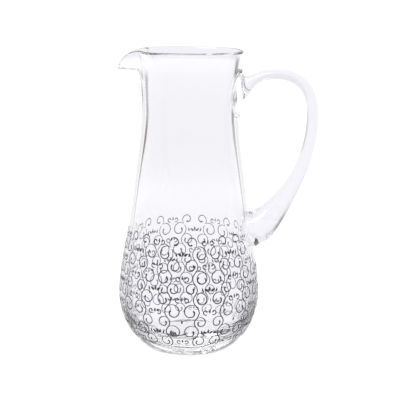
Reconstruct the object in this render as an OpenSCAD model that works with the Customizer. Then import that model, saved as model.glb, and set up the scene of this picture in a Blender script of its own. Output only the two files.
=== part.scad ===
// Cocktail pitcher: a blown glass jug with a pulled spout, an applied solid glass handle
// and a vine of fired enamel printed round the bowl.
// Millimetres, Z up. The origin is the middle of the foot's underside.
// The handle points to +X and the spout to -X.

/* [Bowl outline] */
// Height of the rim above the table
height = 265; // [256:1:280]
// Radius of the flat ground foot
foot_r = 36; // [32:0.5:40]
// Angle above the table at which the bowl leaves the foot
foot_rise = 32; // [24:1:40]
// How far the bowl keeps that direction
foot_pull = 26; // [20:0.5:30]
// Radius of the bowl at its widest
belly_r = 62; // [58:0.5:66]
// Height of the bowl's widest ring
belly_z = 48.5; // [44:0.5:54]
// How far the bowl stays upright below its widest ring
belly_low_pull = 10; // [7:0.5:14]
// How far the bowl stays upright above its widest ring
belly_high_pull = 24.5; // [18:0.5:30]
// Radius of the shoulder
shoulder_r = 52.3; // [50:0.1:55]
// Height of the shoulder
shoulder_z = 116.5; // [110:0.5:123]
// Inward lean of the shoulder from upright, in degrees
shoulder_lean = 6.8; // [4:0.1:9]
// How far the shoulder keeps its lean downwards
shoulder_low_pull = 10; // [7:0.5:14]
// How far the shoulder keeps its lean upwards
shoulder_high_pull = 31; // [24:0.5:38]
// Radius of the neck at its narrowest
neck_r = 42.5; // [40:0.1:45]
// Height of the neck's narrowest ring
neck_z = 208; // [200:0.5:214]
// How far the neck stays upright below its narrowest ring
neck_low_pull = 20; // [14:0.5:26]
// How far the neck stays upright above its narrowest ring
neck_high_pull = 12; // [8:0.5:18]
// Radius of the flared rim, outside
rim_r = 46.3; // [44:0.1:49]
// Outward lean of the rim from upright, in degrees
rim_lean = 27; // [18:1:34]
// How far the rim keeps its lean
rim_pull = 8; // [6:0.5:12]

/* [Glass] */
// Thickness of the blown wall
wall = 3.8; // [2.8:0.1:4.6]
// Thickness of the glass at the lip
lip_t = 3.2; // [2.6:0.1:3.8]
// Thickness of the heavy glass under the bowl
base_t = 11; // [7:0.5:15]
// Radius of the flat middle of the inside floor
floor_r = 8; // [5:0.5:14]
// How far the inside floor runs level before it curves up
floor_pull = 30; // [22:0.5:34]
// How far the inside stays upright below the widest ring
floor_side_pull = 26; // [20:0.5:30]

/* [Spout] */
// How far the spout's lip stands out past the rim
spout_reach = 17.3; // [12:0.1:20]
// How far the top of the spout's lip lies below the rim
spout_drop = 15; // [11:0.5:18]
// How far the rim is pushed out on either side of the spout
ear_reach = 3.5; // [0:0.1:5]
// Half the angle of the rim that is pulled into the spout
spout_half = 28; // [24:1:34]
// Angle from upright at which the floor of the spout runs out to its lip
spout_lean = 88; // [78:1:88]
// How far the neck stays upright under the spout
spout_rise_pull = 44; // [36:0.5:46]
// How far the floor of the spout runs out level
spout_run_pull = 19; // [14:0.5:21]

/* [Handle] */
// Depth below the rim of the middle of the handle's upper root
root_below_rim = 33.5; // [31:0.5:36]
// Height of the handle's upper root where it leaves the pad
root_h = 25; // [22:0.5:27]
// Width of the handle's upper root
root_w = 21; // [17:0.5:24]
// Height of the arch above the middle of the upper root
arch_rise = 13.1; // [10:0.1:15]
// Distance of the arch's top from the neck
arch_out = 33; // [29:0.5:37]
// Thickness of the rod at the top of its arch
arch_t = 8.8; // [8:0.1:11]
// Room for the fingers between the neck and the rod
grip_gap = 59.5; // [56:0.5:64]
// Depth of the rod's outermost point below the top of the arch
grip_drop = 35.5; // [31:0.5:40]
// Thickness of the rod at its outermost point
rod_t = 10.4; // [9:0.1:12]
// Width of the rod across the grip
rod_w = 14; // [12:0.5:17]
// Height of the middle of the handle's lower end on the bowl
gob_z = 104; // [98:0.5:108]
// Height of the handle's lower end where it spreads on the bowl
gob_h = 38; // [32:0.5:42]
// Width of the handle's lower end on the bowl
gob_w = 36; // [30:0.5:42]
// Height of the pad that is pressed on the neck
pad_h = 43.5; // [41:0.5:47]
// Width of that pad round the neck
pad_w = 43; // [36:0.5:46]
// Thickness of that pad
pad_t = 2.6; // [2:0.1:3.4]
// Depth of the pad's middle below the rim
pad_below_rim = 38; // [36:0.5:40]

/* [Print] */
// Height of the lowest printed scroll's middle above the table
print_low_z = 17; // [14:0.5:20]
// Width of a printed line
line_w = 0.8; // [0.65:0.05:0.9]
// Height of the fired enamel above the glass
enamel_t = 0.25; // [0.15:0.05:0.35]
// Radius of a full scroll
scroll_r = 7; // [6.8:0.1:7.1]
// Distance of the scrolls' middles from the vine's own line
scroll_side = 4.2; // [4:0.1:4.3]
// Radius of the small hooks between the vines
hook_r = 2.5; // [2.1:0.1:2.7]
// Distance of a small hook's middle from the middle of its pair
hook_apart = 3.7; // [3.5:0.1:4]
// Length of the drop between two small hooks
drop_l = 3.6; // [3:0.1:4.2]
// Length of a comma beside a bud
comma_l = 4; // [3.4:0.1:4.6]
// Length of a bud's petal
petal_l = 4.4; // [4:0.1:5]

/* [Hidden] */
panels = 8;
overrun = 1;
// The enamel floats this far off the true curve of the wall, which the flat facets keep inside
enamel_gap = 0.05;
// The loops of the mesh: steps along each stretch of wall and round the ring
foot_steps = 6;
belly_steps = 5;
shoulder_steps = 6;
rim_steps = 8;
floor_steps = 7;
lip_steps = 3;
spout_steps = 8;
ring_steps = 34;
handle_sides = 20;
root_steps = 8;
arch_steps = 7;
gob_steps = 13;
arc_steps = 2;
scroll_steps = 7;
hook_steps = 6;
// Where the ears beside the spout start and end, and how much further out they lean
ear_start = 20;
ear_end = 84;
ear_lean = 12;
// How round the spout's lip is, seen from the side
lip_bend_share = 0.9;
// How the handle's path bends, as shares of its own reaches, and how it widens at its ends
root_lift_share = 0.5;
gob_lift_share = 0.1;
gob_climb_share = 0;
root_pull_share = 0.26;
arch_pull_share = 0.46;
round_share = 0.64;
grip_pull_share = 0.41;
gob_pull_share = 0.32;
root_flare = 4.5;
root_turn_share = 0.4;
root_rise = 49.5;
gob_rise = 45.8;
gob_flare = 3;
// How the print's lines run: angles seen from the middles of the scrolls and hooks
stem_start = -55;
stem_crossing = 12;
fork_angle = 18;
scroll_turn = 330;
hook_start = -120;
hook_turn = 300;
petal_spread = 55;
comma_lean = 20;
stem_low_share = 1;
stem_high_share = 0.7;
thin_share = 0.45;
hook_thin_share = 0.8;
end_share = 1;
curl_end_share = 0.3;
petal_foot_share = 0.24;
bud_sink_share = 0.35;
drop_sink_share = 0.25;
comma_bend_share = 0.35;
line_gap = 0.35;
comma_gap = 1.4;
print_margin = 1.5;
radians = 180 / PI;
up = [0, 1];
full_turn = 360;
half_turn = 180;
quarter_turn = 90;

function blend(a, b, share) = (1 - share) * a + share * b;

function bezier(a, b, c, d, steps, first = 0) =
    [for (i = [first:steps]) let (t = i / steps)
        pow(1 - t, 3) * a + 3 * pow(1 - t, 2) * t * b + 3 * (1 - t) * t * t * c + pow(t, 3) * d];

function unit(v) = v / norm(v);

function tangent(path, i) = unit(path[min(i + 1, len(path) - 1)] - path[max(i - 1, 0)]);

// A path moved sideways to its left by an amount, which changes to another over its last steps
function inset(path, amount, end_amount, steps) =
    [for (i = [0:len(path) - 1])
        let (t = tangent(path, i), share = max(0, (i - len(path) + 1 + steps) / steps))
        path[i] + blend(amount, end_amount, share) * [-t[1], t[0]]];

// Faces of a closed skin over rings of the same number of points, with a flat cap at either end
function skin_faces(rings, sides) = concat(
    [[for (j = [0:sides - 1]) j]],
    [for (i = [0:rings - 2], j = [0:sides - 1])
        let (k = (j + 1) % sides, a = i * sides, b = a + sides)
        each [[a + j, b + j, b + k], [a + j, b + k, a + k]]],
    [[for (j = [0:sides - 1]) rings * sides - 1 - j]]);

// The wall's outline, each point as radius and height
foot_edge = [foot_r, 0];
belly = [belly_r, belly_z];
shoulder = [shoulder_r, shoulder_z];
neck = [neck_r, neck_z];
shoulder_way = [-sin(shoulder_lean), cos(shoulder_lean)];
foot_way = [cos(foot_rise), sin(foot_rise)];

foot_wall = bezier(foot_edge, foot_edge + foot_pull * foot_way,
    belly - belly_low_pull * up, belly, foot_steps);
// The wall is drawn on under the table, for the foot to be ground flat there
foot_start = foot_edge - overrun / foot_wall[1][1] * (foot_wall[1] - foot_edge);
bowl_wall = concat(
    bezier(belly, belly + belly_high_pull * up,
        shoulder - shoulder_low_pull * shoulder_way, shoulder, belly_steps),
    bezier(shoulder, shoulder + shoulder_high_pull * shoulder_way, neck - neck_low_pull * up, neck,
        shoulder_steps, 1));

// How much of the spout, and of the ears beside it, there is at an angle from the spout's middle
function spout_share(angle) = abs(angle) < spout_half ? pow(cos(angle / spout_half * quarter_turn), 2) : 0;

function ear_share(angle) =
    let (t = (abs(angle) - ear_start) / (ear_end - ear_start))
    t > 0 && t < 1 ? pow(sin(half_turn * t), 2) : 0;

// The neck above its narrowest ring, at an angle from the spout's middle
function rim_way(angle) =
    let (lean = blend(rim_lean + ear_lean * ear_share(angle), spout_lean, spout_share(angle)))
    [sin(lean), cos(lean)];

function spout_fall(share) =
    (1 - sqrt(1 - lip_bend_share * share * share)) / (1 - sqrt(1 - lip_bend_share));

function lip_middle(angle) =
    [rim_r + spout_reach * spout_share(angle) + ear_reach * ear_share(angle) - lip_t / 2,
        height - spout_drop * spout_fall(spout_share(angle)) - lip_t / 2];

function rim_point(angle) =
    let (way = rim_way(angle)) lip_middle(angle) + lip_t / 2 * [way[1], -way[0]];

function neck_wall(angle) = let (share = spout_share(angle)) bezier(neck,
    neck + blend(neck_high_pull, spout_rise_pull, share) * up,
    rim_point(angle) - blend(rim_pull, spout_run_pull, share) * rim_way(angle),
    rim_point(angle), rim_steps, 1);

// The fire-polished lip runs round from the outer wall's end to the inner wall's end
function lip(outer_end, inner_end) =
    let (middle = (outer_end + inner_end) / 2, across = (outer_end - inner_end) / 2,
        over = [-across[1], across[0]])
    [for (i = [1:lip_steps])
        let (a = half_turn * i / (lip_steps + 1)) middle + cos(a) * across + sin(a) * over];

inner_floor = bezier(belly - [wall, 0], belly - [wall, 0] - floor_side_pull * up,
    [floor_r + floor_pull, base_t], [floor_r, base_t], floor_steps, 1);

function reversed(list) = [for (i = [len(list) - 1:-1:0]) list[i]];

// One column of the wall: up the outside, over the lip, down the inside and across the floor
function column(angle) =
    let (outside = concat(bowl_wall, neck_wall(angle)), inside = inset(outside, wall, lip_t, rim_steps),
        last = len(outside) - 1)
    concat([foot_start], [for (i = [1:foot_steps]) foot_wall[i]], [for (i = [1:last]) outside[i]],
        lip(outside[last], inside[last]), reversed(inside), inner_floor);

// Places of the columns round the axis, closer together on the spout
column_angles = concat(
    [for (i = [-spout_steps:spout_steps - 1]) half_turn + spout_half * i / spout_steps],
    [for (i = [0:ring_steps - 1])
        half_turn + spout_half + (full_turn - 2 * spout_half) * i / ring_steps]);

// The round wall's radius at a height, as the solid has it
round_wall = concat(foot_wall, [for (i = [1:len(bowl_wall) - 1]) bowl_wall[i]], neck_wall(half_turn));

function wall_r(z) = lookup(z, [for (p = round_wall) [p[1], p[0]]]);

function turn_from_spout(angle) = let (a = abs(angle - half_turn)) min(a, full_turn - a);

module body() {
    columns = [for (a = column_angles) column(turn_from_spout(a))];
    rings = len(columns[0]);
    points = [for (i = [0:rings - 1], j = [0:len(column_angles) - 1])
        let (p = columns[j][i], a = column_angles[j]) [p[0] * cos(a), p[0] * sin(a), p[1]]];
    color("aliceblue", 0.4)
        difference() {
            polyhedron(points, skin_faces(rings, len(column_angles)), convexity = 8);
            translate([-belly_r, -belly_r, -2 * overrun])
                cube([2 * belly_r, 2 * belly_r, 2 * overrun]);
        }
}

// The solid of revolution that the handle is fused to
module round_outside() {
    rotate_extrude()
        polygon(concat([[0, 0]], round_wall, [[0, height]]));
}

// The handle's middle line, each point as distance from the axis and height
root_z = height - root_below_rim;
pad_z = height - pad_below_rim;
arch_top = [neck_r + arch_out, root_z + arch_rise];
grip_out = [neck_r + grip_gap + rod_t / 2, arch_top[1] - grip_drop];
root_start = [wall_r(root_z) + pad_t + root_lift_share * pad_t, root_z];
gob_start = [wall_r(gob_z) + gob_lift_share * gob_h, gob_z + gob_climb_share * gob_h];
root_way = [cos(root_rise), sin(root_rise)];
gob_way = [cos(gob_rise), sin(gob_rise)];
root_path = bezier(root_start, root_start + root_pull_share * arch_out * root_way,
    arch_top - [arch_pull_share * arch_out, 0], arch_top, root_steps);
arch_path = bezier(arch_top, arch_top + [round_share * (grip_out[0] - arch_top[0]), 0],
    grip_out + round_share * grip_drop * up, grip_out, arch_steps, 1);
gob_path = bezier(grip_out, grip_out - grip_pull_share * (grip_out[1] - gob_z) * up,
    gob_start + gob_pull_share * (grip_out[1] - gob_z) * gob_way, gob_start, gob_steps, 1);
rod_path = concat(root_path, arch_path, gob_path);

// Rod sizes along the path: height of the section in the handle's plane, then width across it
function root_share(i) = pow(1 - min(i / root_steps, 1), root_flare);

function gob_share(i) = pow(max((i - root_steps - arch_steps) / gob_steps, 0), gob_flare);

function rod_height(i) =
    blend(blend(arch_t, rod_t, min(max((i - root_steps) / arch_steps, 0), 1)), root_h, root_share(i))
    + (gob_h - rod_t) * gob_share(i);

function rod_width(i) = rod_w + (root_w - rod_w) * root_share(i) + (gob_w - rod_w) * gob_share(i);

// Lean of the wall under the gob
gob_wall_angle = atan2(-gob_h, wall_r(gob_z - gob_h / 2) - wall_r(gob_z + gob_h / 2));

// Direction of a section's height, which turns from square to the path to along the wall at either end
function section_angle(i) =
    let (t = tangent(rod_path, i), square = atan2(t[1], t[0]) + quarter_turn)
    blend(blend(square, quarter_turn, pow(root_share(i), root_turn_share)), gob_wall_angle, gob_share(i));

function rod_ring(i) =
    let (c = rod_path[i], a = section_angle(i), h = rod_height(i) / 2, w = rod_width(i) / 2)
    [for (j = [0:handle_sides - 1]) let (q = full_turn * j / handle_sides)
        [c[0] + h * sin(q) * cos(a), w * cos(q), c[1] + h * sin(q) * sin(a)]];

// A ring that lies along the wall, lifted off it
function wall_ring(z, w, h, lift) =
    [for (j = [0:handle_sides - 1])
        let (q = full_turn * j / handle_sides, y = w / 2 * cos(q), rise = z + h / 2 * sin(q),
            a = radians * y / wall_r(z), r = wall_r(rise) + lift)
        [r * cos(a), r * sin(a), rise]];

// Shares of the pad's or the gob's outline, and of the thickness there, from inside the wall outwards
pad_shares = [[0.95, -0.45], [1, 0.15], [0.97, 0.65], [0.84, 1]];
gob_shares = [[0.95, -0.3], [1, 0.15], [1, 0.7]];

module handle() {
    rings = concat(
        [for (p = pad_shares) wall_ring(pad_z, p[0] * pad_w, p[0] * pad_h, p[1] * pad_t)],
        [for (i = [0:len(rod_path) - 1]) rod_ring(i)],
        [for (p = reversed(gob_shares)) wall_ring(gob_z, p[0] * gob_w, -p[0] * gob_h, p[1] * wall)]);
    color("aliceblue", 0.5)
        difference() {
            polyhedron([for (ring = rings) each ring], skin_faces(len(rings), handle_sides), convexity = 6);
            round_outside();
        }
}

// The wall by its run, which is the length along it from the foot's edge
wall_runs = [for (i = 0, run = 0; i < len(round_wall);
    run = run + (i < len(round_wall) - 1 ? norm(round_wall[i + 1] - round_wall[i]) : 0), i = i + 1) run];

function wall_at(run) = [
    lookup(run, [for (i = [0:len(wall_runs) - 1]) [wall_runs[i], round_wall[i][0]]]),
    lookup(run, [for (i = [0:len(wall_runs) - 1]) [wall_runs[i], round_wall[i][1]]])];

function run_at(z) = lookup(z, [for (i = [0:len(wall_runs) - 1]) [round_wall[i][1], wall_runs[i]]]);

// A point of the print, from its place across the panel and its run, lifted off the glass
function on_wall(x, run, lift) =
    let (p = wall_at(run), way = unit(wall_at(run + line_w / 2) - wall_at(run - line_w / 2)),
        r = p[0] + lift * way[1], a = radians * x / belly_r)
    [r * cos(a), r * sin(a), p[1] - lift * way[0]];

// Strokes of the print: each is a list of points, and each point is place across, run and width
scroll_radius_shares = [0.88, 1, 0.78, 1, 0.92, 0.76, 1, 0.86, 1, 0.8];
scroll_count = len(scroll_radius_shares);
panel_w = 2 * PI * belly_r / panels;
vine_place = panel_w / 4;

function scroll_radius(k) = scroll_r * scroll_radius_shares[k];

function scroll_step(k) =
    sqrt(pow(scroll_radius(k) + scroll_radius(k + 1) + line_gap, 2) - pow(2 * scroll_side, 2));

scroll_runs = [for (k = 0, run = run_at(print_low_z); k < scroll_count;
    run = run + (k < scroll_count - 1 ? scroll_step(k) : 0), k = k + 1) run];

function side(k) = k % 2 == 0 ? -1 : 1;

function scroll_middle(k) = [vine_place + side(k) * scroll_side, scroll_runs[k]];

// Angle at which scroll k meets another, as seen from the middle of scroll k
function meeting(k, other) = let (d = scroll_middle(other) - scroll_middle(k)) atan2(d[1], d[0]);

function low_meeting(k) = k > 0 ? meeting(k, k - 1) : stem_start;

// The stem runs up along one scroll after the other, and crosses over where two of them meet
function sweep(k) = (side(k) * (low_meeting(k) - meeting(k, k + 1)) + full_turn) % full_turn;

stem = [for (k = [0:scroll_count - 2], i = [0:arc_steps])
    let (t = i / arc_steps, first = k > 0 ? stem_crossing : 0,
        a = low_meeting(k) - side(k) * blend(first, sweep(k) - stem_crossing, t),
        w = line_w * blend(stem_low_share, stem_high_share, (k + t) / scroll_count))
    [each (scroll_middle(k) + scroll_radius(k) * [cos(a), sin(a)]), w]];

// A line that winds in round a middle, and swells to a drop at its end
function curl(middle, r, first, turn, thin, steps) =
    [for (i = [0:steps])
        let (t = i / steps, a = first + turn * pow(t, 1.15),
            reach = r * blend(1, curl_end_share, pow(t, 1.4)),
            w = line_w * (thin + (1 - thin) * min(1, 4 * t) + end_share * pow(t, 6)))
        [each (middle + reach * [cos(a), sin(a)]), w]];

// A scroll forks off the stem where the stem crosses over; the last one ends the stem
function scroll(k) =
    let (fork = k < scroll_count - 1 ? meeting(k, k + 1) : low_meeting(k))
    curl(scroll_middle(k), scroll_radius(k), fork - side(k) * fork_angle, -side(k) * scroll_turn,
        thin_share, scroll_steps);

// A short stroke from its foot to its tip, with a width at each of its four points
function stroke(foot, tip, bend, shares) =
    [for (i = [0:3])
        let (t = i / 3, across = [foot[1] - tip[1], tip[0] - foot[0]])
        [each (blend(foot, tip, t) + 4 * bend * t * (1 - t) * across), line_w * shares[i]]];

petal_width_shares = [0.5, 2.3, 2, 0.4];
comma_width_shares = [0.9, 1.8, 1.1, 0.4];
drop_width_shares = [0.5, 1.9, 1.4, 0.4];

// A bud is a trefoil of three petals that open upwards, with a comma on either side
comma_place = petal_l * (petal_foot_share + sin(petal_spread)) + comma_gap;

function bud(middle) = concat(
    [for (spread = [-1, 0, 1])
        let (foot = middle + petal_l * [spread * petal_foot_share, -bud_sink_share],
            a = quarter_turn - spread * petal_spread)
        stroke(foot, foot + petal_l * [cos(a), sin(a)], 0, petal_width_shares)],
    [for (s = [-1, 1])
        let (a = quarter_turn - s * comma_lean, half = comma_l / 2 * [cos(a), sin(a)],
            place = middle + [s * comma_place, 0])
        stroke(place - half, place + half, -s * comma_bend_share / 4, comma_width_shares)]);

// Two small hooks that face each other
function hooks(middle) =
    [for (s = [-1, 1])
        [for (p = curl([hook_apart, 0], hook_r, hook_start, hook_turn, hook_thin_share, hook_steps))
            [middle[0] + s * p[0], middle[1] + p[1], p[2]]]];

function drop(middle) =
    stroke(middle - drop_l * drop_sink_share * up, middle + drop_l * (1 - drop_sink_share) * up, 0,
        drop_width_shares);

// The pockets between two vines, by the number of the scroll beside them
bud_pockets = [1, 5, 8];
hook_pockets = [0, 3, 4, 6, 7, 9];

function among(k, pockets) = len(search(k, pockets)) > 0;

function pocket(k) = [side(k) > 0 ? 0 : panel_w / 2, scroll_runs[k]];

vine = concat([stem], [for (k = [0:scroll_count - 1]) scroll(k)]);
strokes = concat(vine, [for (line = vine) [for (p = line) [-p[0], p[1], p[2]]]],
    [for (k = [0:scroll_count - 1])
        each (among(k, bud_pockets) ? bud(pocket(k))
            : concat([drop(pocket(k))], among(k, hook_pockets) ? hooks(pocket(k)) : []))]);

// The print stops short of the glass that the handle spreads on the bowl
function clear_of_handle(point, turned) =
    let (q = on_wall(point[0], point[1], 0), a = atan2(q[1], q[0]) + turned,
        across = norm([q[0], q[1]]) * sin(a) / (gob_w / 2 + print_margin),
        along = (q[2] - gob_z) / (gob_h / 2 + print_margin))
    cos(a) < 0 || norm([across, along]) > 1;

function clear_count(stroke, turned, i = 0) =
    i < len(stroke) && clear_of_handle(stroke[i], turned) ? clear_count(stroke, turned, i + 1) : i;

// A stem that meets that glass ends there; any shorter stroke that meets it is left out
function kept_strokes(turned) =
    [for (s = strokes)
        let (count = clear_count(s, turned))
        if (count == len(s) || count > scroll_steps + 1) [for (i = [0:count - 1]) s[i]]];

// A stroke is a low ridge of enamel: two edges on the glass and a crest between them
function ridge(stroke) = let (last = len(stroke) - 1)
    [for (i = [0:last])
        let (a = stroke[max(i - 1, 0)], b = stroke[min(i + 1, last)],
            way = unit([b[0] - a[0], b[1] - a[1]]), w = stroke[i][2] / 2,
            x = stroke[i][0], run = stroke[i][1])
        each [on_wall(x - w * way[1], run + w * way[0], enamel_gap),
            on_wall(x + w * way[1], run - w * way[0], enamel_gap),
            on_wall(x, run, enamel_gap + enamel_t)]];

module print_panel(number) {
    turned = full_turn * (number - 0.5) / panels;
    kept = kept_strokes(turned);
    firsts = [for (i = 0, n = 0; i < len(kept); n = n + 3 * len(kept[i]), i = i + 1) n];
    faces = [for (i = [0:len(kept) - 1], f = skin_faces(len(kept[i]), 3)) [for (v = f) v + firsts[i]]];
    color("dimgray")
        rotate([0, 0, turned])
            polyhedron([for (s = kept) each ridge(s)], faces, convexity = 10);
}

body();
handle();
for (number = [1:panels])
    print_panel(number);
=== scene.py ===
import math
import bpy
from mathutils import Matrix, Vector
from mathutils.kdtree import KDTree


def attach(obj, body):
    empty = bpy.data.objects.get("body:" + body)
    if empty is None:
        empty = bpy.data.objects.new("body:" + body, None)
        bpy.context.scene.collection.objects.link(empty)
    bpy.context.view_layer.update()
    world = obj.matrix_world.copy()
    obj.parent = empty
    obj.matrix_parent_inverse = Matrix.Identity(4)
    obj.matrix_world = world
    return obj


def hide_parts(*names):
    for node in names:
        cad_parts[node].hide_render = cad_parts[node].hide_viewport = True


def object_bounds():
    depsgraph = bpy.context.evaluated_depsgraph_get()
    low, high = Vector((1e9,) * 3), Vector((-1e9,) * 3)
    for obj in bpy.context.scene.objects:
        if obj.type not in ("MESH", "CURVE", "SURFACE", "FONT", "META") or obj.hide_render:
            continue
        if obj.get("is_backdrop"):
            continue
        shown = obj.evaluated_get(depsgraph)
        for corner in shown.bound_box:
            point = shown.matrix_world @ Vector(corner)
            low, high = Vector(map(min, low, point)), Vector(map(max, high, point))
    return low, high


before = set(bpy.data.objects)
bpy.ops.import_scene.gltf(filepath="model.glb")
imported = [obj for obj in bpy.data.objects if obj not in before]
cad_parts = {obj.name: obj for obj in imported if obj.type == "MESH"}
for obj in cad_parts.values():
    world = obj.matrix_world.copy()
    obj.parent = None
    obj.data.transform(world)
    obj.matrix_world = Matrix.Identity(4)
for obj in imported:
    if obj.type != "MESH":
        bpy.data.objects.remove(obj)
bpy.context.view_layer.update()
mm = 0.001

# Small tools


def colour(code):  # an sRGB hex colour, turned linear for the shaders
    shares = [int(code[i:i + 2], 16) / 255 for i in (1, 3, 5)]
    return [c / 12.92 if c <= 0.04045 else ((c + 0.055) / 1.055) ** 2.4 for c in shares] + [1]


def newMaterial(name):
    material = bpy.data.materials.new(name)
    material.use_nodes = True
    material.node_tree.nodes.clear()
    return material


def addNode(material, kind, inputs=(), stops=(), **settings):  # an input is a value, a socket or a node
    node = material.node_tree.nodes.new(kind)
    for name, value in settings.items():
        setattr(node, name, value)
    for name, value in dict(inputs).items():
        if isinstance(value, bpy.types.Node):
            value = value.outputs[0]
        if isinstance(value, bpy.types.NodeSocket):
            material.node_tree.links.new(value, node.inputs[name])
        else:
            node.inputs[name].default_value = value
    for extra in stops[2:]:
        node.color_ramp.elements.new(0.5)
    for number, (place, shade) in enumerate(stops):
        node.color_ramp.elements[number].position = place
        node.color_ramp.elements[number].color = shade
    return node


def blend(a, b, share):
    return a * (1 - share) + b * share


def bezier(a, b, c, d, steps, first=0):  # points along a curve from a to d, pulled towards b and c
    points = []
    for i in range(first, steps + 1):
        t = i / steps
        points.append((1 - t) ** 3 * a + 3 * (1 - t) ** 2 * t * b + 3 * (1 - t) * t * t * c + t ** 3 * d)
    return points


def way(degrees):  # a step of one in a direction
    return Vector((math.cos(math.radians(degrees)), math.sin(math.radians(degrees))))


def fade(value, low, high):  # 0 below low, 1 above high, and smooth between
    t = min(max((value - low) / (high - low), 0), 1)
    return t * t * (3 - 2 * t)


def tangent(path, i):
    return (path[min(i + 1, len(path) - 1)] - path[max(i - 1, 0)]).normalized()


def editMode(piece):
    bpy.ops.object.select_all(action="DESELECT")
    piece.select_set(True)
    bpy.context.view_layer.objects.active = piece
    bpy.ops.object.mode_set(mode="EDIT")
    bpy.ops.mesh.select_mode(type="VERT")


# The glass body: half its section is drawn out point by point, spun, and the mouth drawn out into the spout

bodyShape = {
    "height": 265, "footRadius": 36, "footRise": 32, "footPull": 26,
    "bellyRadius": 62, "bellyHeight": 48.5, "bellyPulls": (10, 24.5),
    "shoulderRadius": 52.3, "shoulderHeight": 116.5, "shoulderLean": 6.8, "shoulderPulls": (10, 31),
    "neckRadius": 42.5, "neckHeight": 208, "neckPulls": (20, 12),
    "rimRadius": 46.3, "rimLean": 27, "rimPull": 8, "settle": 0.25,
    "wall": 3.8, "lip": 3.2, "base": 11, "floorRadius": 8, "floorPull": 30, "floorSidePull": 26,
    "spoutReach": 17.3, "spoutDrop": 15, "spoutHalf": 28, "spoutLean": 88, "spoutPulls": (44, 19),
    "spoutRound": 0.9,  # how much like a quarter round the lip falls towards the spout's tip
    "earReach": 3.5, "earFrom": 20, "earTo": 84, "earLean": 12,
    "footRound": 1.6,  # the edge of the ground foot
    "underRings": (0, 0.12, 0.25, 0.4, 0.55, 0.7, 0.8, 0.88), "floorRings": (0.6, 0.25, 0),
    # gentle waves on the inside of the heavy base, below this height: each has a strength, its count round
    # the base, its change with the radius and with the height, and its start
    "uneven": 0.45, "unevenTo": 50, "unevenFade": 20, "unevenRadii": (4, 24),
    "waves": ((1, 3, 0.11, 0, 0), (0.7, 5, 0, -0.16, 1), (0.5, 8, 0.2, 0, 2)),
    "columns": 240,
    # heights over which the painted dark line inside the outline fades, round the rim and under the spout
    "rimFade": (262, 270), "spoutFade": (240, 252), "spoutFadeHalf": 60,
}
up = Vector((0, 1))
shape = bodyShape
belly = Vector((shape["bellyRadius"], shape["bellyHeight"]))
shoulder = Vector((shape["shoulderRadius"], shape["shoulderHeight"]))
neck = Vector((shape["neckRadius"], shape["neckHeight"]))
shoulderWay = way(90 + shape["shoulderLean"])
footEdge = Vector((shape["footRadius"], 0))
footWall = bezier(footEdge, footEdge + shape["footPull"] * way(shape["footRise"]),
                  belly - shape["bellyPulls"][0] * up, belly, 26)
bowlWall = (bezier(belly, belly + shape["bellyPulls"][1] * up,
                   shoulder - shape["shoulderPulls"][0] * shoulderWay, shoulder, 20)
            + bezier(shoulder, shoulder + shape["shoulderPulls"][1] * shoulderWay,
                     neck - shape["neckPulls"][0] * up, neck, 24, 1))
rimSteps = 30
lipSteps = 12


def spoutShare(angle):
    return math.cos(angle / shape["spoutHalf"] * math.pi / 2) ** 2 if abs(angle) < shape["spoutHalf"] else 0


def earShare(angle):
    t = (abs(angle) - shape["earFrom"]) / (shape["earTo"] - shape["earFrom"])
    return math.sin(math.pi * t) ** 2 if 0 < t < 1 else 0


def mouthWall(angle):  # the wall above the neck, at an angle from the spout's middle
    spout, ear = spoutShare(angle), earShare(angle)
    lean = blend(shape["rimLean"] + shape["earLean"] * ear, shape["spoutLean"], spout)
    rimWay = way(90 - lean)
    fall = (1 - math.sqrt(1 - shape["spoutRound"] * spout * spout)) / (1 - math.sqrt(1 - shape["spoutRound"]))
    reach = shape["rimRadius"] + shape["spoutReach"] * spout + shape["earReach"] * ear
    rise = shape["height"] - shape["settle"] - shape["spoutDrop"] * fall
    middle = Vector((reach - shape["lip"] / 2, rise - shape["lip"] / 2))
    end = middle + shape["lip"] / 2 * Vector((rimWay.y, -rimWay.x))
    return bezier(neck, neck + blend(shape["neckPulls"][1], shape["spoutPulls"][0], spout) * up,
                  end - blend(shape["rimPull"], shape["spoutPulls"][1], spout) * rimWay, end, rimSteps, 1)


def section(angle):  # from the middle of the base, up the outside and down the inside to the floor
    outside = bowlWall + mouthWall(angle)
    inside = []
    for i, point in enumerate(outside):
        t = tangent(outside, i)
        thick = blend(shape["wall"], shape["lip"], max(0, (i - len(outside) + 1 + rimSteps) / rimSteps))
        inside.append(point + thick * Vector((-t.y, t.x)))
    middle, across = (outside[-1] + inside[-1]) / 2, (outside[-1] - inside[-1]) / 2
    over = Vector((-across.y, across.x))
    lip = [middle + math.cos(math.pi * i / lipSteps) * across + math.sin(math.pi * i / lipSteps) * over
           for i in range(1, lipSteps)]
    corner, turn, soft = footEdge, shape["footRound"], 0.35 * shape["footRound"]
    rounding = bezier(corner - Vector((turn, 0)), corner - Vector((soft, 0)),
                      corner + soft * way(shape["footRise"]), corner + turn * way(shape["footRise"]), 5)
    under = [Vector((corner.x * share, 0)) for share in shape["underRings"]]
    wallFoot = [p for p in footWall if (p - corner).length > turn * 1.25][:-1]  # clear of the rounding
    low = belly - Vector((shape["wall"], 0))
    floor = bezier(low, low - shape["floorSidePull"] * up,
                   Vector((shape["floorRadius"] + shape["floorPull"], shape["base"])),
                   Vector((shape["floorRadius"], shape["base"])), 24, 1)
    centre = [Vector((shape["floorRadius"] * share, shape["base"])) for share in shape["floorRings"]]
    return under + rounding + wallFoot + outside + lip + inside[::-1] + floor + centre


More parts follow.
